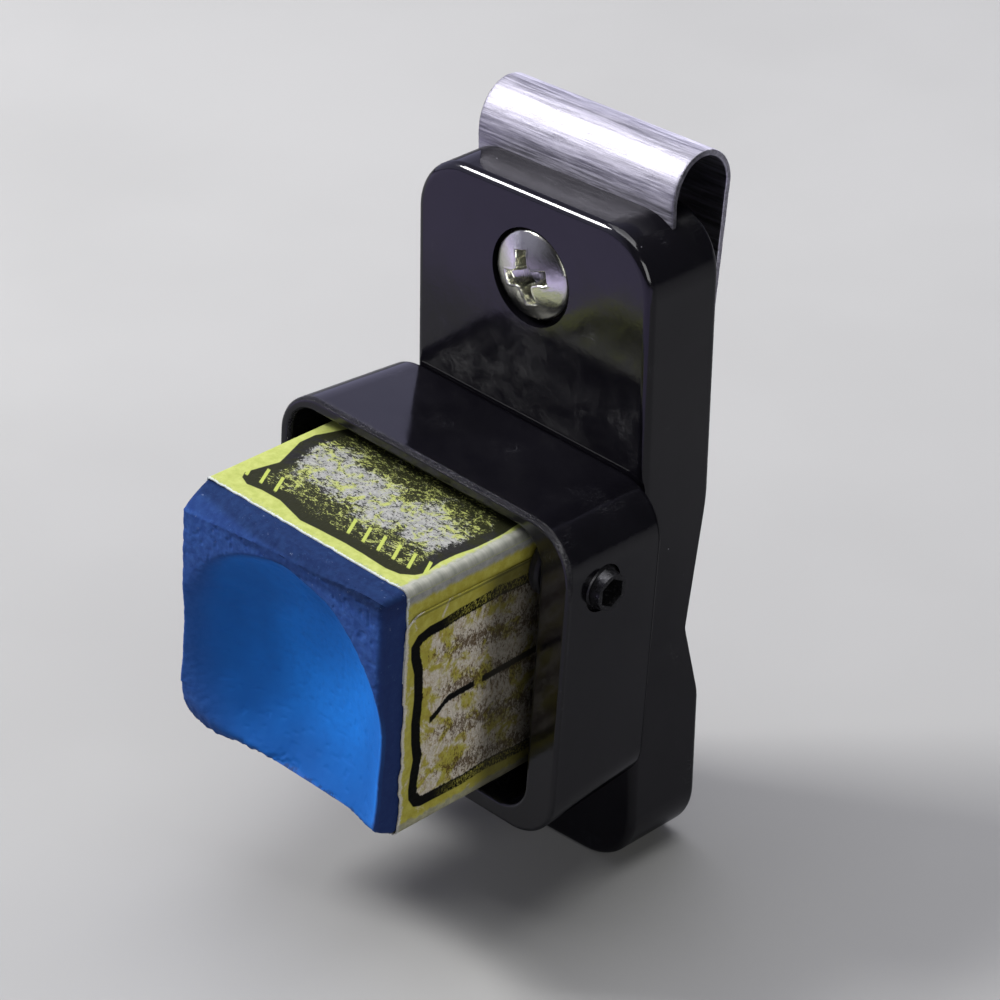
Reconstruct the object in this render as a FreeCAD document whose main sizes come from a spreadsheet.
import FreeCAD, Part
import math
import os
import Sketcher
from FreeCAD import Vector, Placement, Rotation

# Belt clip holder for a cue chalk cube. Millimetres.
# Frame: +X to the right seen from the front, -Y out of the front, +Z up.
# Origin: centre of the front plate's flat bottom edge, halfway through the plate.
# Clip pieces are drawn with y = 0 on the plate's front face and shifted forward by
# half a plate. Cup pieces are drawn about the magnet axis and share one placement,
# turned a little about that axis as the cup sits on its magnet.

# Endings: _w width, _h height, _t thickness, _l length, _d depth, _r radius,
# _x _y _z place, _af across flats. In the cup frame _y is the distance forward.
SIZES = dict(
    overcut=2.0,  # how far cuts run past the material
    # front plate and rear cover
    plate_w=24.8, plate_h=56.5, plate_t=5.1, plate_r=5.0, plate_edge_r=0.7,
    cover_t=2.75, cover_edge_r=0.6,
    # belt notch in the cover's back
    notch_top=33.9, notch_z=21.0, notch_bottom=13.0, notch_wall=0.55,
    # clamp screw: counterbore, hole, head and shank
    screw_z=49.5, counterbore_r=4.08, counterbore_d=2.0, hole_r=2.15,
    head_r=3.75, head_side=1.25, head_dome=1.25, head_edge_r=0.35,
    shank_r=1.98, shank_l=5.7, shank_bevel=0.4,
    # cross recess in the screw head
    cross_reach=2.35, cross_half_w=0.62, cross_web=0.42, cross_d=1.9, cross_lead=0.3,
    cross_turn=16.5, cross_taper=-9.0,
    # nut
    nut_af=7.0, nut_t=1.8, nut_gap=0.04, nut_floor=0.9, nut_floor_gap=0.02,
    nut_hole_r=2.0, nut_bevel=0.3,
    # locating pegs between the two mouldings
    peg_x=8.0, peg_high=38.5, peg_low=7.5, peg_r=1.25, peg_l=2.0, peg_gap=0.03,
    peg_end_gap=0.15, peg_bevel=0.3,
    # spring strip: front leg, bend and the rounding of its foot
    strip_w=20.5, strip_t=0.5, strip_bottom=44.0, strip_gap=0.03, strip_foot_gap=0.1,
    bend_z=57.7, bend_r=3.05, knuckle_gap=0.02, strip_foot_r=2.0,
    strip_hole_start=1.0, strip_hole_cut=3.0,
    # rear leg: mid-line points from top to tip, and the rounding at its bends
    upper_y=8.15, upper_z=31.0, pinch_y=5.99, pinch_z=21.0, tip_y=8.65, tip_z=13.2,
    tip_tilt=0.08, upper_bend_r=30.0, pinch_front_r=2.0, pinch_back_r=1.5, tip_r=2.2,
    # magnets
    magnet_z=23.3, magnet_r=6.0, magnet_l=4.0, magnet_gap=0.05, magnet_edge_r=0.3,
    magnet_skin=0.95, magnet_skin_gap=0.03,
    cup_magnet_l=2.0, cup_magnet_set_in=0.04, cup_seat_extra=0.1,
    # cup
    cup_turn=3.04, cup_x=-1.3, cup_half_w=15.35, cup_half_h=13.75, cup_d=11.1,
    cup_taper=2.6, cup_r=4.3, rim_edge_r=0.35, cup_back_r=0.45,
    cavity_left=14.85, cavity_right=12.8, cavity_bottom=12.57, cavity_top=13.1,
    cavity_floor=2.8, cavity_r=2.8,
    rib_front=7.6, rib_w=2.2, rib_z=6.0, rib_gap=0.02, rib_edge_r=0.5,
    rib_floor_sink=0.2, rib_wall_sink=0.1,
    # cup's set screw, its bore and socket
    set_y=6.93, set_z=8.33, set_r=1.95, set_end=15.3, socket_af=2.2, socket_d=2.3,
    bore_r=2.0, bore_start=11.0, bore_l=8.0, pitch=0.7, thread_d=0.32,
    # pressure pad and the dog point that enters it
    pad_r=2.8, pad_t=1.0, pad_gap=0.03, pad_bevel=0.25,
    dog_r=1.2, dog_l=0.6, dog_side_gap=0.04, dog_end_gap=0.05,
    # chalk: cube, dish sphere and worn front edges
    chalk_w=22.0, chalk_x=-2.27, chalk_z=0.69, chalk_front=25.1, chalk_l=22.2,
    chalk_r=0.5, dish_r=15.45, dish_out=10.85, dish_x=-1.82, dish_z=-1.11,
    wear_bottom=1.9, wear_top=0.6,
    # chalk label and its loose end
    paper_t=0.1, label_front=22.6, flap_top=1.7, flap_drop=0.75, flap_r=1.3,
    flap_foot=0.8,
)
X, Y, Z = range(3)


# ------------------------------------------------------------ sizes
class Size:
    """A number together with the sheet expression it comes from."""

    def __init__(self, value, text):
        self.value = float(value)
        self.text = text

    def __add__(self, other):
        other = size(other)
        return Size(self.value + other.value, "(%s + %s)" % (self.text, other.text))

    def __sub__(self, other):
        other = size(other)
        return Size(self.value - other.value, "(%s - %s)" % (self.text, other.text))

    def __mul__(self, other):
        other = size(other)
        return Size(self.value * other.value, "(%s * %s)" % (self.text, other.text))

    def __truediv__(self, other):
        other = size(other)
        return Size(self.value / other.value, "(%s / %s)" % (self.text, other.text))

    def __neg__(self):
        return Size(-self.value, "(0 - %s)" % self.text)


def size(number):
    if isinstance(number, Size):
        return number
    return Size(number, "%.6f" % number if number >= 0 else "(0 - %.6f)" % -number)


class Dimensions:
    """Every alias of the sheet, as a Size."""


os.makedirs("parts", exist_ok=True)
doc = FreeCAD.newDocument("chalk_holder")
sheet = doc.addObject("Spreadsheet::Sheet", "sheet")
dim = Dimensions()
for row, (alias, number) in enumerate(SIZES.items(), 1):
    sheet.set("A%d" % row, alias)
    sheet.set("B%d" % row, repr(number))
    sheet.setAlias("B%d" % row, alias)
    setattr(dim, alias, Size(number, "sheet." + alias))
doc.recompute()


# ------------------------------------------------------------ sketches
def sketch(body, role, name, offset=(0, 0, 0), turn=0):
    """Sketch on an origin plane. The normal of XZ_Plane points to -Y, so a
    positive third offset there lies further forward."""
    result = body.newObject("Sketcher::SketchObject", name)
    support = next(f for f in body.Origin.OriginFeatures if f.Role == role)
    result.AttachmentSupport = [(support, "")]
    result.MapMode = "FlatFace"
    offset = [size(part) for part in offset]
    turn = size(turn)
    result.AttachmentOffset = Placement(Vector(*[part.value for part in offset]),
                                        Rotation(Vector(0, 0, 1), turn.value))
    for axis, part in zip("xyz", offset):
        result.setExpression(".AttachmentOffset.Base.%s" % axis, part.text)
    if turn.value:
        result.setExpression(".AttachmentOffset.Rotation.Angle", turn.text)
    return result


def constrain(target, kind, elements, amount):
    index = target.addConstraint(Sketcher.Constraint(kind, *elements, amount.value))
    target.setExpression("Constraints[%d]" % index, amount.text)


def fix_point(target, geometry, point, x, y):
    """Dimension a point from the origin, or hold it on the axis where it is zero."""
    for kind, amount, axis in (("DistanceX", x, -2), ("DistanceY", y, -1)):
        if abs(amount.value) < 1e-9:
            target.addConstraint(Sketcher.Constraint("PointOnObject", geometry, point, axis))
        else:
            constrain(target, kind, (-1, 1, geometry, point), amount)


def outline(target, points, arcs=None):
    """Closed outline through (x, y) points. arcs maps a segment's number to
    (radius, centre x, centre y, counter-clockwise)."""
    arcs = arcs or {}
    points = [(size(x), size(y)) for x, y in points]
    segments = []  # (geometry, its start point's number, its end point's number)
    for i, (x, y) in enumerate(points):
        next_x, next_y = points[(i + 1) % len(points)]
        start = Vector(x.value, y.value, 0)
        end = Vector(next_x.value, next_y.value, 0)
        first, last = 1, 2
        if i in arcs:
            radius, centre_x, centre_y, forward = arcs[i]
            centre = Vector(centre_x.value, centre_y.value, 0)
            curve = Part.Circle(centre, Vector(0, 0, 1), radius.value)
            from_angle = math.atan2(start.y - centre.y, start.x - centre.x)
            to_angle = math.atan2(end.y - centre.y, end.x - centre.x)
            if not forward:
                from_angle, to_angle = to_angle, from_angle
                first, last = 2, 1
            shape = Part.ArcOfCircle(curve, from_angle, to_angle)
        else:
            shape = Part.LineSegment(start, end)
        segments.append((target.addGeometry(shape, False), first, last))
    for i, (geometry, _, last) in enumerate(segments):
        following, first, _ = segments[(i + 1) % len(segments)]
        target.addConstraint(
            Sketcher.Constraint("Coincident", geometry, last, following, first))
    for (geometry, first, _), (x, y) in zip(segments, points):
        fix_point(target, geometry, first, x, y)
    for i, arc in arcs.items():
        constrain(target, "Radius", (segments[i][0],), arc[0])


def rectangle(target, left, bottom, right, top):
    outline(target, [(left, bottom), (right, bottom), (right, top), (left, top)])


def rounded_rectangle(target, left, bottom, right, top, r):
    outline(target,
            [(left + r, bottom), (right - r, bottom), (right, bottom + r), (right, top - r),
             (right - r, top), (left + r, top), (left, top - r), (left, bottom + r)],
            {1: (r, right - r, bottom + r, True), 3: (r, right - r, top - r, True),
             5: (r, left + r, top - r, True), 7: (r, left + r, bottom + r, True)})


def circle(target, x, y, radius):
    x, y = size(x), size(y)
    shape = Part.Circle(Vector(x.value, y.value, 0), Vector(0, 0, 1), radius.value)
    geometry = target.addGeometry(shape, False)
    constrain(target, "Radius", (geometry,), radius)
    fix_point(target, geometry, 3, x, y)


def hexagon(target, x, y, across_flats):
    """Hexagon with two flats parallel to the sketch's y axis."""
    x, y = size(x), size(y)
    corner_r = 1 / math.sqrt(3)  # for one unit across flats
    angles = [math.radians(60 * k + 30) for k in range(6)]
    outline(target, [(x + across_flats * (corner_r * math.cos(angle)),
                      y + across_flats * (corner_r * math.sin(angle))) for angle in angles])


# ------------------------------------------------------------ features
def extrude(body, kind, profile, name, length, reverse=False, middle=False, taper=None):
    """Pad or pocket. A length of None goes through everything."""
    feature = body.newObject("PartDesign::" + kind, name)
    feature.Profile = profile
    if length is None:
        feature.Type = "ThroughAll"
    else:
        feature.Length = length.value
        feature.setExpression("Length", length.text)
    feature.Reversed = reverse
    if middle:
        # The symmetric setting goes by either name, depending on the FreeCAD version.
        if "SideType" in feature.PropertiesList:
            feature.SideType = "Symmetric"
        else:
            feature.Midplane = True
    if taper is not None:
        feature.TaperAngle = taper.value
        feature.setExpression("TaperAngle", taper.text)
    profile.Visibility = False
    doc.recompute()


def pad(body, profile, name, length, **options):
    extrude(body, "Pad", profile, name, length, **options)


def pocket(body, profile, name, length=None, **options):
    extrude(body, "Pocket", profile, name, length, **options)


def revolve(body, profile, name):
    """Full turn about the sketch's horizontal axis."""
    feature = body.newObject("PartDesign::Revolution", name)
    feature.Profile = profile
    feature.ReferenceAxis = (profile, ["H_Axis"])
    feature.Angle = 360
    doc.recompute()


def dress(body, kind, prop, name, amount, pick):
    base = body.Tip
    names = ["Edge%d" % i for i, edge in enumerate(base.Shape.Edges, 1) if pick(edge)]
    if not names:
        raise RuntimeError("%s: no edges" % name)
    feature = body.newObject("PartDesign::" + kind, name)
    feature.Base = (base, names)
    setattr(feature, prop, amount.value)
    feature.setExpression(prop, amount.text)
    doc.recompute()


def fillet(body, name, radius, pick):
    dress(body, "Fillet", "Radius", name, radius, pick)


def chamfer(body, name, width, pick):
    dress(body, "Chamfer", "Size", name, width, pick)


# ------------------------------------------------------------ edge selectors
def near(number, target, tolerance=1e-3):
    return abs(number - size(target).value) < tolerance


def curve_type(edge):
    return "" if edge.Degenerated else edge.Curve.TypeId


def is_line(edge):
    return curve_type(edge) == "Part::GeomLine"


def is_circle(edge):
    return curve_type(edge) == "Part::GeomCircle"


def span(edge, axis):
    return edge.Vertexes[-1].Point[axis] - edge.Vertexes[0].Point[axis]


def along(edge, axis, x=None, y=None, z=None):
    """True for a straight edge along the axis that starts at the given coordinates."""
    if not is_line(edge) or abs(span(edge, axis)) <= 1e-4:
        return False
    if any(abs(span(edge, other)) >= 1e-4 for other in (X, Y, Z) if other != axis):
        return False
    start = edge.Vertexes[0].Point
    return all(place is None or near(start[i], place) for i, place in enumerate((x, y, z)))


def on_y(edge, y, tolerance=1e-3):
    """True for an edge lying wholly in the plane at y."""
    box = edge.BoundBox
    return near(box.YMin, y, tolerance) and near(box.YMax, y, tolerance)


# ------------------------------------------------------------ shared places
BACK = dim.plate_t + dim.cover_t  # rear cover's back face

# The strip's bend, around a centre at (BEND_Y, bend_z)
STRIP_Y = dim.plate_t - dim.strip_t / 2 - dim.strip_gap / 2  # mid-plane of the front leg
BEND_Y = STRIP_Y + dim.bend_r
BEND_OUTER_R = dim.bend_r + dim.strip_t / 2
BEND_INNER_R = dim.bend_r - dim.strip_t / 2
BEND_TOP = dim.bend_z + dim.bend_r

# Chalk and pressure pad, in the cup frame
CHALK_BACK = dim.chalk_front - dim.chalk_l
CHALK_LEFT = dim.chalk_x - dim.chalk_w / 2
CHALK_RIGHT = dim.chalk_x + dim.chalk_w / 2
CHALK_BOTTOM = dim.chalk_z - dim.chalk_w / 2
CHALK_TOP = dim.chalk_z + dim.chalk_w / 2
PAD_LEFT = CHALK_RIGHT + dim.paper_t * 2 + dim.pad_gap  # clear of two label layers
PAD_RIGHT = PAD_LEFT + dim.pad_t


# ------------------------------------------------------------ clip pieces
def plate_outline(body, name, offset=(0, 0, 0)):
    profile = sketch(body, "XZ_Plane", name, offset)
    rectangle(profile, -dim.plate_w / 2, 0, dim.plate_w / 2, dim.plate_h)
    return profile


def peg_circles(body, name, radius):
    """Four circles on the face where the plate meets the cover."""
    profile = sketch(body, "XZ_Plane", name, (0, 0, -dim.plate_t))
    for x in (-dim.peg_x, dim.peg_x):
        for z in (dim.peg_high, dim.peg_low):
            circle(profile, x, z, radius)
    return profile


def front_plate(body):
    pad(body, plate_outline(body, "fp_outline"), "fp_slab", dim.plate_t, reverse=True)
    fillet(body, "fp_corners", dim.plate_r, lambda e: along(e, Y))
    fillet(body, "fp_front_edge", dim.plate_edge_r, lambda e: on_y(e, 0))
    profile = sketch(body, "XZ_Plane", "fp_cbore_outline")
    circle(profile, 0, dim.screw_z, dim.counterbore_r)
    pocket(body, profile, "fp_cbore", dim.counterbore_d)
    profile = sketch(body, "XZ_Plane", "fp_hole_outline")
    circle(profile, 0, dim.screw_z, dim.hole_r)
    pocket(body, profile, "fp_hole")
    # seats cut forward from the back face
    profile = sketch(body, "XZ_Plane", "fp_strip_outline", (0, 0, -dim.plate_t))
    half_w = dim.strip_w / 2 + dim.strip_gap * 2
    rectangle(profile, -half_w, dim.strip_bottom - dim.strip_foot_gap,
              half_w, dim.plate_h + dim.overcut)
    pocket(body, profile, "fp_strip_seat", dim.strip_t + dim.strip_gap, reverse=True)
    profile = sketch(body, "XZ_Plane", "fp_magnet_outline", (0, 0, -dim.plate_t))
    circle(profile, 0, dim.magnet_z, dim.magnet_r + dim.magnet_gap)
    pocket(body, profile, "fp_magnet_seat", dim.plate_t - dim.magnet_skin, reverse=True)
    profile = peg_circles(body, "fp_peg_outline", dim.peg_r + dim.peg_gap)
    pocket(body, profile, "fp_peg_holes", dim.peg_l + dim.peg_end_gap, reverse=True)


def rear_cover(body):
    profile = plate_outline(body, "rc_outline", (0, 0, -dim.plate_t))
    pad(body, profile, "rc_slab", dim.cover_t, reverse=True)
    fillet(body, "rc_corners", dim.plate_r, lambda e: along(e, Y))
    fillet(body, "rc_back_edge", dim.cover_edge_r, lambda e: on_y(e, BACK))
    # belt notch: (y, z) measured profile, with eased corners at its ends and deepest point
    top, deepest, bottom = dim.notch_top, dim.notch_z, dim.notch_bottom
    floor = dim.plate_t + dim.notch_wall
    profile = sketch(body, "YZ_Plane", "rc_notch_outline")
    outline(profile, [
        (BACK, bottom - 0.9), (BACK + dim.overcut, bottom - 5), (BACK + dim.overcut, top + 8),
        (BACK, top + 2.1), (BACK - 0.06, top + 0.8), (BACK - 0.19, top - 0.5),
        (BACK - 0.40, top - 1.8), (floor + 0.05, deepest + 0.35), (floor, deepest),
        (floor + 0.07, deepest - 0.35), (BACK - 0.36, bottom + 1.2),
        (BACK - 0.13, bottom + 0.2)])
    pocket(body, profile, "rc_notch", dim.plate_w + dim.overcut * 2, middle=True)
    profile = sketch(body, "XZ_Plane", "rc_nut_outline", (0, 0, -BACK))
    hexagon(profile, 0, dim.screw_z, dim.nut_af + dim.nut_gap * 2)
    pocket(body, profile, "rc_nut_seat", dim.cover_t - dim.nut_floor, reverse=True)
    profile = sketch(body, "XZ_Plane", "rc_hole_outline", (0, 0, -dim.plate_t))
    circle(profile, 0, dim.screw_z, dim.hole_r)
    pocket(body, profile, "rc_hole")
    pad(body, peg_circles(body, "rc_peg_outline", dim.peg_r), "rc_pegs", dim.peg_l)
    chamfer(body, "rc_peg_tips", dim.peg_bevel, lambda e: on_y(e, dim.plate_t - dim.peg_l))


def clip_strip(body):
    """Front leg and the front half of the bend."""
    half_t = dim.strip_t / 2
    profile = sketch(body, "YZ_Plane", "cs_outline")
    outline(profile,
            [(STRIP_Y + half_t, dim.strip_bottom), (STRIP_Y + half_t, dim.bend_z),
             (BEND_Y, dim.bend_z + BEND_INNER_R), (BEND_Y, dim.bend_z + BEND_OUTER_R),
             (STRIP_Y - half_t, dim.bend_z), (STRIP_Y - half_t, dim.strip_bottom)],
            {1: (BEND_INNER_R, BEND_Y, dim.bend_z, False),
             3: (BEND_OUTER_R, BEND_Y, dim.bend_z, True)})
    pad(body, profile, "cs_strip", dim.strip_w, middle=True)
    # round socket for the leg's knuckle at the top of the bend
    profile = sketch(body, "YZ_Plane", "cs_socket_outline")
    circle(profile, BEND_Y, BEND_TOP, half_t + dim.knuckle_gap)
    pocket(body, profile, "cs_socket", dim.strip_w + dim.overcut, middle=True)
    start = dim.plate_t + dim.strip_hole_start
    profile = sketch(body, "XZ_Plane", "cs_hole_outline", (0, 0, -start))
    circle(profile, 0, dim.screw_z, dim.hole_r)
    pocket(body, profile, "cs_hole", dim.strip_hole_cut, reverse=True)
    fillet(body, "cs_foot_corners", dim.strip_foot_r,
           lambda e: along(e, Y, z=dim.strip_bottom))


def clip_leg(body):
    """Rear half of the bend and the bent leg below it."""
    leg_y = BEND_Y + dim.bend_r
    # half thicknesses measured along y, changed by the leg's slope at each point
    half_t = dim.strip_t / 2
    upper_half = dim.strip_t * 0.508
    pinch_half = dim.strip_t * 0.519
    tip_half = dim.strip_t * 0.476
    profile = sketch(body, "YZ_Plane", "cl_outline")
    outline(profile,
            [(BEND_Y, dim.bend_z + BEND_INNER_R), (leg_y - half_t, dim.bend_z),
             (dim.upper_y - upper_half, dim.upper_z), (dim.pinch_y - pinch_half, dim.pinch_z),
             (dim.tip_y - tip_half, dim.tip_z - dim.tip_tilt),
             (dim.tip_y + tip_half, dim.tip_z + dim.tip_tilt),
             (dim.pinch_y + pinch_half, dim.pinch_z), (dim.upper_y + upper_half, dim.upper_z),
             (leg_y + half_t, dim.bend_z), (BEND_Y, dim.bend_z + BEND_OUTER_R)],
            {0: (BEND_INNER_R, BEND_Y, dim.bend_z, False),
             8: (BEND_OUTER_R, BEND_Y, dim.bend_z, True)})
    pad(body, profile, "cl_strip", dim.strip_w, middle=True)
    profile = sketch(body, "YZ_Plane", "cl_knuckle_outline")
    circle(profile, BEND_Y, BEND_TOP, half_t)
    pad(body, profile, "cl_knuckle", dim.strip_w, middle=True)
    pinch_y = dim.pinch_y.value
    fillet(body, "cl_bend_hi", dim.upper_bend_r, lambda e: along(e, X, z=dim.upper_z))
    fillet(body, "cl_bend_in", dim.pinch_front_r,
           lambda e: along(e, X, z=dim.pinch_z) and e.Vertexes[0].Y < pinch_y)
    fillet(body, "cl_bend_out", dim.pinch_back_r,
           lambda e: along(e, X, z=dim.pinch_z) and e.Vertexes[0].Y > pinch_y)
    # the two short edges across the thickness at the tip
    fillet(body, "cl_tip_corners", dim.tip_r,
           lambda e: is_line(e) and near(e.Length, dim.strip_t, 0.08)
           and e.BoundBox.ZMax < dim.tip_z.value + 0.2
           and near(e.BoundBox.XMin, e.BoundBox.XMax))


def clamp_screw(body):
    seat = dim.counterbore_d
    rim = seat - dim.head_side
    apex = rim - dim.head_dome
    shank_end = seat + dim.shank_l
    dome_r = (dim.head_r * dim.head_r + dim.head_dome * dim.head_dome) / (dim.head_dome * 2)
    profile = sketch(body, "YZ_Plane", "sc_outline", (0, dim.screw_z, 0))
    outline(profile,
            [(apex, 0), (shank_end, 0), (shank_end, dim.shank_r - dim.shank_bevel),
             (shank_end - dim.shank_bevel, dim.shank_r), (seat, dim.shank_r),
             (seat, dim.head_r), (rim, dim.head_r)],
            {6: (dome_r, apex + dome_r, size(0), True)})
    revolve(body, profile, "sc_blank")
    fillet(body, "sc_head_edge", dim.head_edge_r,
           lambda e: is_circle(e) and near(e.Curve.Radius, dim.head_r) and on_y(e, rim))
    # tapered cross recess with webs in its inner corners
    reach, half_w = dim.cross_reach, dim.cross_half_w
    inner = half_w + dim.cross_web
    profile = sketch(body, "XZ_Plane", "sc_cross_outline",
                     (0, dim.screw_z, dim.cross_lead - apex), turn=dim.cross_turn)
    outline(profile, [
        (reach, -half_w), (reach, half_w), (inner, half_w), (half_w, inner),
        (half_w, reach), (-half_w, reach), (-half_w, inner), (-inner, half_w),
        (-reach, half_w), (-reach, -half_w), (-inner, -half_w), (-half_w, -inner),
        (-half_w, -reach), (half_w, -reach), (half_w, -inner), (inner, -half_w)])
    pocket(body, profile, "sc_cross", dim.cross_d + dim.cross_lead, taper=dim.cross_taper)


def clamp_nut(body):
    front = dim.plate_t + dim.nut_floor + dim.nut_floor_gap
    profile = sketch(body, "XZ_Plane", "nu_outline", (0, 0, -front))
    hexagon(profile, 0, dim.screw_z, dim.nut_af)
    circle(profile, 0, dim.screw_z, dim.nut_hole_r)
    pad(body, profile, "nu_blank", dim.nut_t, reverse=True)
    chamfer(body, "nu_mouth", dim.nut_bevel, is_circle)


def plate_magnet(body):
    front = dim.magnet_skin + dim.magnet_skin_gap
    profile = sketch(body, "XZ_Plane", "pm_outline", (0, 0, -front))
    circle(profile, 0, dim.magnet_z, dim.magnet_r)
    pad(body, profile, "pm_disc", dim.magnet_l, reverse=True)
    fillet(body, "pm_edges", dim.magnet_edge_r, is_circle)


# ------------------------------------------------------------ cup pieces
def chalk_cup(body):
    depth = dim.cup_d
    profile = sketch(body, "XZ_Plane", "cu_outline")
    rectangle(profile, dim.cup_x - dim.cup_half_w, -dim.cup_half_h,
              dim.cup_x + dim.cup_half_w, dim.cup_half_h)
    pad(body, profile, "cu_block", depth, taper=dim.cup_taper)
    fillet(body, "cu_corners", dim.cup_r,
           lambda e: not is_circle(e) and abs(span(e, Y)) > depth.value * 0.9)
    fillet(body, "cu_back_edge", dim.cup_back_r, lambda e: on_y(e, 0))
    profile = sketch(body, "XZ_Plane", "cu_cavity_outline", (0, 0, depth))
    cavity_left = dim.cup_x - dim.cavity_left
    rounded_rectangle(profile, cavity_left, -dim.cavity_bottom,
                      dim.cup_x + dim.cavity_right, dim.cavity_top, dim.cavity_r)
    pocket(body, profile, "cu_cavity", depth - dim.cavity_floor, taper=-dim.cup_taper)
    fillet(body, "cu_rim_edge", dim.rim_edge_r, lambda e: on_y(e, -depth, 0.01))
    # two ribs on the left wall that the chalk bears against
    rib_back = dim.cavity_floor - dim.rib_floor_sink
    rib_right = CHALK_LEFT - dim.paper_t - dim.rib_gap
    profile = sketch(body, "XZ_Plane", "cu_rib_outline", (0, 0, rib_back))
    for z in (-dim.rib_z, dim.rib_z):
        rectangle(profile, cavity_left - dim.rib_wall_sink, z - dim.rib_w / 2,
                  rib_right, z + dim.rib_w / 2)
    pad(body, profile, "cu_ribs", dim.rib_front - rib_back)
    fillet(body, "cu_rib_edges", dim.rib_edge_r,
           lambda e: along(e, Z, x=rib_right, y=-dim.rib_front))
    # set screw bore through the right wall
    profile = sketch(body, "YZ_Plane", "cu_bore_outline", (0, 0, dim.cup_x + dim.bore_start))
    circle(profile, -dim.set_y, dim.set_z, dim.bore_r)
    pocket(body, profile, "cu_bore", dim.bore_l, reverse=True)
    profile = sketch(body, "XZ_Plane", "cu_magnet_outline")
    circle(profile, 0, 0, dim.magnet_r + dim.magnet_gap)
    pocket(body, profile, "cu_magnet_seat", dim.cup_magnet_l + dim.cup_seat_extra,
           reverse=True)


def cup_magnet(body):
    profile = sketch(body, "XZ_Plane", "cm_outline", (0, 0, dim.cup_magnet_set_in))
    circle(profile, 0, 0, dim.magnet_r)
    pad(body, profile, "cm_disc", dim.cup_magnet_l)
    fillet(body, "cm_edges", dim.magnet_edge_r, is_circle)


def pressure_pad(body):
    recess_x = PAD_RIGHT - dim.dog_l - dim.dog_end_gap
    recess_r = dim.dog_r + dim.dog_side_gap
    bevel_r = dim.pad_r - dim.pad_bevel
    profile = sketch(body, "XZ_Plane", "pp_outline", (0, dim.set_z, dim.set_y))
    outline(profile, [
        (PAD_LEFT, 0), (recess_x, 0), (recess_x, recess_r), (PAD_RIGHT, recess_r),
        (PAD_RIGHT, bevel_r), (PAD_RIGHT - dim.pad_bevel, dim.pad_r),
        (PAD_LEFT + dim.pad_bevel, dim.pad_r), (PAD_LEFT, bevel_r)])
    revolve(body, profile, "pp_disc")


def set_screw(body):
    """Grooved rings stand in for the thread."""
    crest_r, end = dim.set_r, dim.set_end
    root_r = crest_r - dim.thread_d
    shoulder = PAD_RIGHT + dim.dog_end_gap
    dog_tip = PAD_RIGHT - dim.dog_l
    points = [(dog_tip, 0), (dog_tip, dim.dog_r), (shoulder, dim.dog_r),
              (shoulder, root_r - 0.05)]
    x = shoulder + 0.15
    while x.value + dim.pitch.value < end.value - 0.25:
        points += [(x, root_r), (x + dim.pitch * 0.42, crest_r),
                   (x + dim.pitch * 0.55, crest_r)]
        x = x + dim.pitch
    points += [(x, root_r), (x + 0.12, root_r + 0.05), (end, crest_r - 0.42), (end, 0)]
    profile = sketch(body, "XZ_Plane", "ss_outline", (0, dim.set_z, dim.set_y))
    outline(profile, points)
    revolve(body, profile, "ss_blank")
    profile = sketch(body, "YZ_Plane", "ss_socket_outline", (0, 0, end))
    hexagon(profile, -dim.set_y, dim.set_z, dim.socket_af)
    pocket(body, profile, "ss_socket", dim.socket_d)


def chalk_block(body):
    profile = sketch(body, "XZ_Plane", "ch_outline", (0, 0, CHALK_BACK))
    rectangle(profile, CHALK_LEFT, CHALK_BOTTOM, CHALK_RIGHT, CHALK_TOP)
    pad(body, profile, "ch_cube", dim.chalk_l)
    # worn front edges, the bottom one most
    front = -dim.chalk_front
    chamfer(body, "ch_worn_bottom", dim.wear_bottom,
            lambda e: along(e, X, y=front) and e.Vertexes[0].Z < 0)
    chamfer(body, "ch_worn_top", dim.wear_top,
            lambda e: along(e, X, y=front) and e.Vertexes[0].Z > 5)
    fillet(body, "ch_edges", dim.chalk_r, lambda e: along(e, Y))
    # dish: a sphere centred in front of the chalk
    dish = body.newObject("PartDesign::SubtractiveSphere", "ch_dish")
    dish.Radius = dim.dish_r.value
    dish.setExpression("Radius", dim.dish_r.text)
    support = next(f for f in body.Origin.OriginFeatures if f.Role == "XY_Plane")
    dish.AttachmentSupport = [(support, "")]
    dish.MapMode = "FlatFace"
    centre = (dim.dish_x, front - dim.dish_out, dim.dish_z)
    dish.AttachmentOffset = Placement(Vector(*[part.value for part in centre]), Rotation())
    for axis, part in zip("xyz", centre):
        dish.setExpression(".AttachmentOffset.Base.%s" % axis, part.text)
    doc.recompute()


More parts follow.
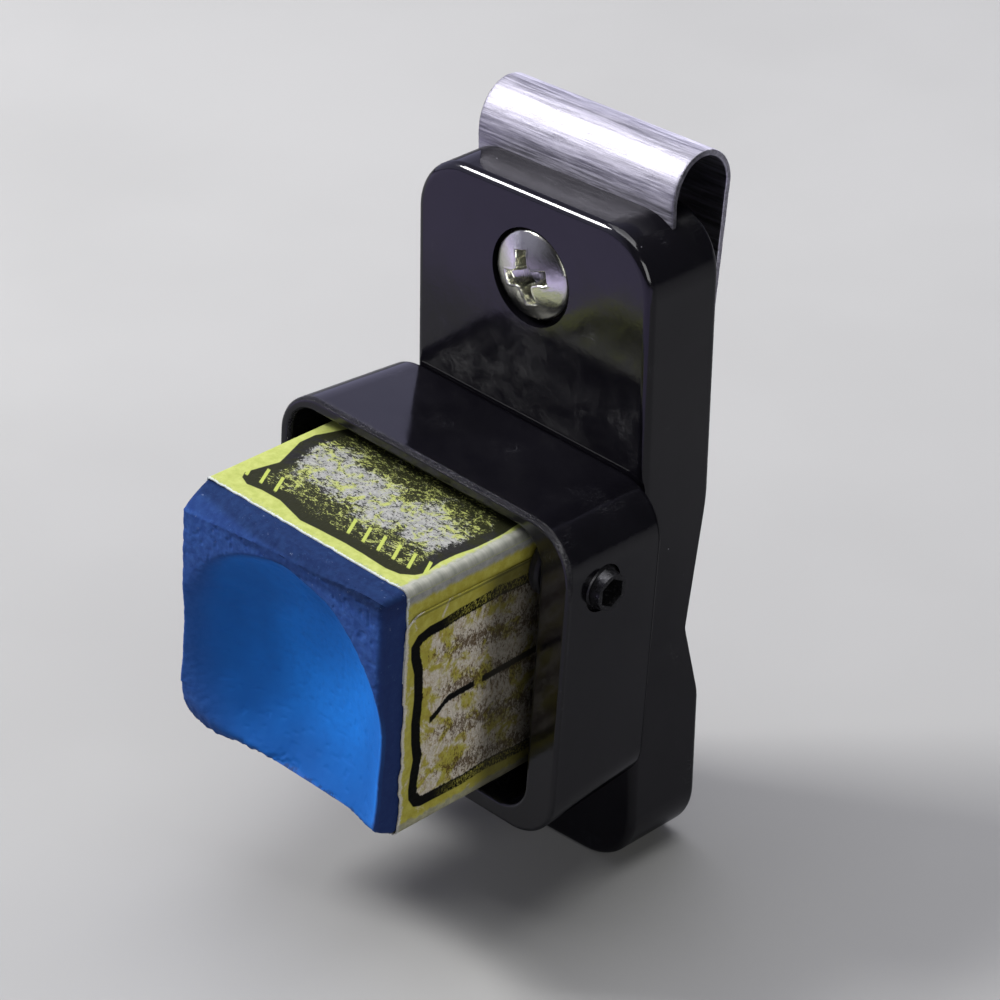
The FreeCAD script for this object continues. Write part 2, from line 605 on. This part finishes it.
def chalk_label(body):
    paper = dim.paper_t
    inner = dim.chalk_w / 2
    profile = sketch(body, "XZ_Plane", "la_outline", (0, 0, CHALK_BACK))
    for layer in (paper, 0):
        rectangle(profile, CHALK_LEFT - layer, CHALK_BOTTOM - layer,
                  CHALK_RIGHT + layer, CHALK_TOP + layer)
    pad(body, profile, "la_wrap", dim.label_front - CHALK_BACK)
    for name, radius, half_w in (("la_inner", dim.chalk_r, inner),
                                 ("la_outer", dim.chalk_r + paper, inner + paper)):
        fillet(body, name, radius, lambda e: along(e, Y)
               and near(abs(e.Vertexes[0].X - dim.chalk_x.value), half_w))
    # the wrap's loose end, a second layer on the right side, sunk half a layer in
    front, back = -dim.label_front, -CHALK_BACK
    top = CHALK_TOP - dim.flap_top
    bottom = CHALK_BOTTOM + dim.flap_foot
    front_top = top - dim.flap_drop
    profile = sketch(body, "YZ_Plane", "la_flap_outline", (0, 0, CHALK_RIGHT + paper * 0.5))
    outline(profile, [(front, bottom), (back, bottom), (back, top), (front, front_top)])
    pad(body, profile, "la_flap", paper * 1.5)
    fillet(body, "la_flap_corner", dim.flap_r,
           lambda e: along(e, X, y=front, z=front_top))


# ------------------------------------------------------------ build, check and write
CLIP_PIECES = (front_plate, rear_cover, clip_strip, clip_leg, clamp_screw, clamp_nut,
               plate_magnet)
CUP_PIECES = (chalk_cup, cup_magnet, pressure_pad, set_screw, chalk_block, chalk_label)


def build_piece(build, z, turn):
    """Build a piece named after its function and put it in the shared frame."""
    body = doc.addObject("PartDesign::Body", build.__name__)
    body.Label = build.__name__
    build(body)
    y = -dim.plate_t / 2
    body.Placement = Placement(Vector(0, y.value, z.value),
                               Rotation(Vector(0, 1, 0), turn.value))
    body.setExpression(".Placement.Base.y", y.text)
    if build in CUP_PIECES:
        body.setExpression(".Placement.Base.z", z.text)
        body.setExpression(".Placement.Rotation.Angle", turn.text)
    return body


bodies = [build_piece(build, size(0), size(0)) for build in CLIP_PIECES]
bodies += [build_piece(build, dim.magnet_z, dim.cup_turn) for build in CUP_PIECES]
doc.recompute()

faults = ["%s state %s" % (item.Name, item.State) for item in doc.Objects
          if "Invalid" in item.State or "Error" in item.State]
for body in bodies:
    if body.Shape.isNull() or not body.Shape.isValid() or len(body.Shape.Solids) != 1:
        faults.append("%s is not one valid solid" % body.Label)
if faults:
    raise RuntimeError("; ".join(faults))
for body in bodies:
    body.Shape.exportStep("parts/%s.step" % body.Label)
